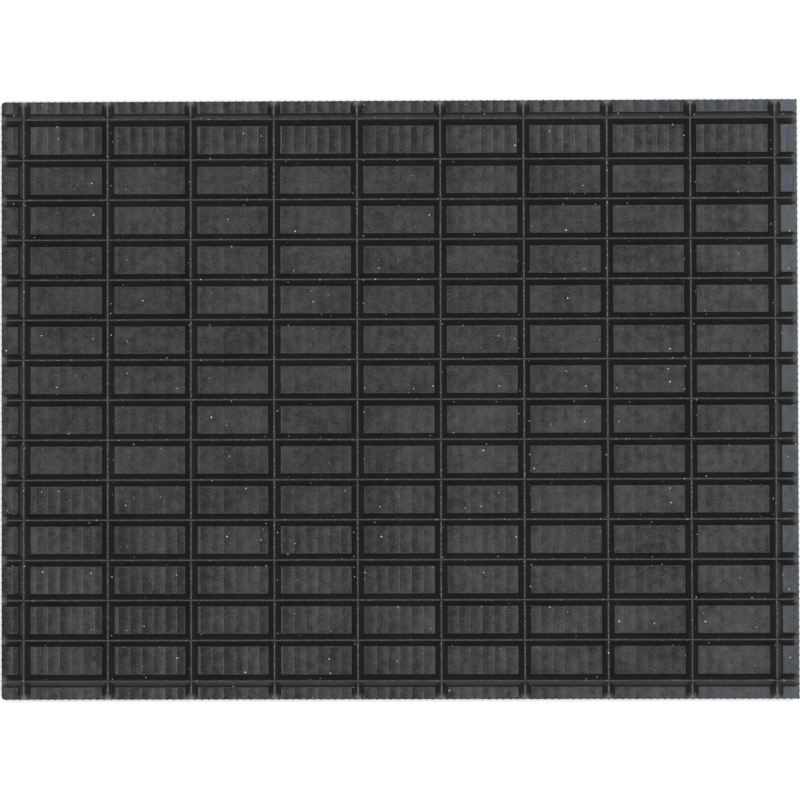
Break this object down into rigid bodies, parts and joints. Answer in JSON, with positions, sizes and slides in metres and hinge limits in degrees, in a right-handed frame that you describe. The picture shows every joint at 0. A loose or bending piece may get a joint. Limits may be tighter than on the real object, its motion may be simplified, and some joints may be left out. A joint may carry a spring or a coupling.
{
  "type": "rubber door mat",
  "caption": "Rectangular black rubber scraper mat: a thin sheet with a field of short round fingers on one side and a grid of tapered drainage ribs on the other.",
  "frame": {"origin": "middle of the plane that the fingertips touch, under the middle of the mat, with the ribbed side up", "axes": "+X along the mat's length, +Y across its width, +Z from the fingertips up to the rib tops"},
  "size_m": [0.798, 0.6, 0.016],
  "materials": {
    "sheet_rubber": "matt black rubber with faint cutter marks from the mould and a little dust",
    "rib_rubber": "satin black rubber, rubbed pale along the narrow rib tops",
    "finger_rubber": "satin black rubber"
  },
  "bodies": {
    "root": {"backing_sheet": "sheet_rubber", "long_rib_01": "rib_rubber", "long_rib_02": "rib_rubber", "long_rib_03": "rib_rubber", "long_rib_04": "rib_rubber", "long_rib_05": "rib_rubber", "long_rib_06": "rib_rubber", "long_rib_07": "rib_rubber", "long_rib_08": "rib_rubber", "long_rib_09": "rib_rubber", "long_rib_10": "rib_rubber", "long_rib_11": "rib_rubber", "long_rib_12": "rib_rubber", "long_rib_13": "rib_rubber", "long_rib_14": "rib_rubber", "long_rib_15": "rib_rubber", "cross_rib_01": "rib_rubber", "cross_rib_02": "rib_rubber", "cross_rib_03": "rib_rubber", "cross_rib_04": "rib_rubber", "cross_rib_05": "rib_rubber", "cross_rib_06": "rib_rubber", "cross_rib_07": "rib_rubber", "cross_rib_08": "rib_rubber", "cross_rib_09": "rib_rubber", "cross_rib_10": "rib_rubber", "fingers_front_left": "finger_rubber", "fingers_front_centre": "finger_rubber", "fingers_front_right": "finger_rubber", "fingers_middle_left": "finger_rubber", "fingers_middle_centre": "finger_rubber", "fingers_middle_right": "finger_rubber", "fingers_back_left": "finger_rubber", "fingers_back_centre": "finger_rubber", "fingers_back_right": "finger_rubber"}
  },
  "joints": []
}
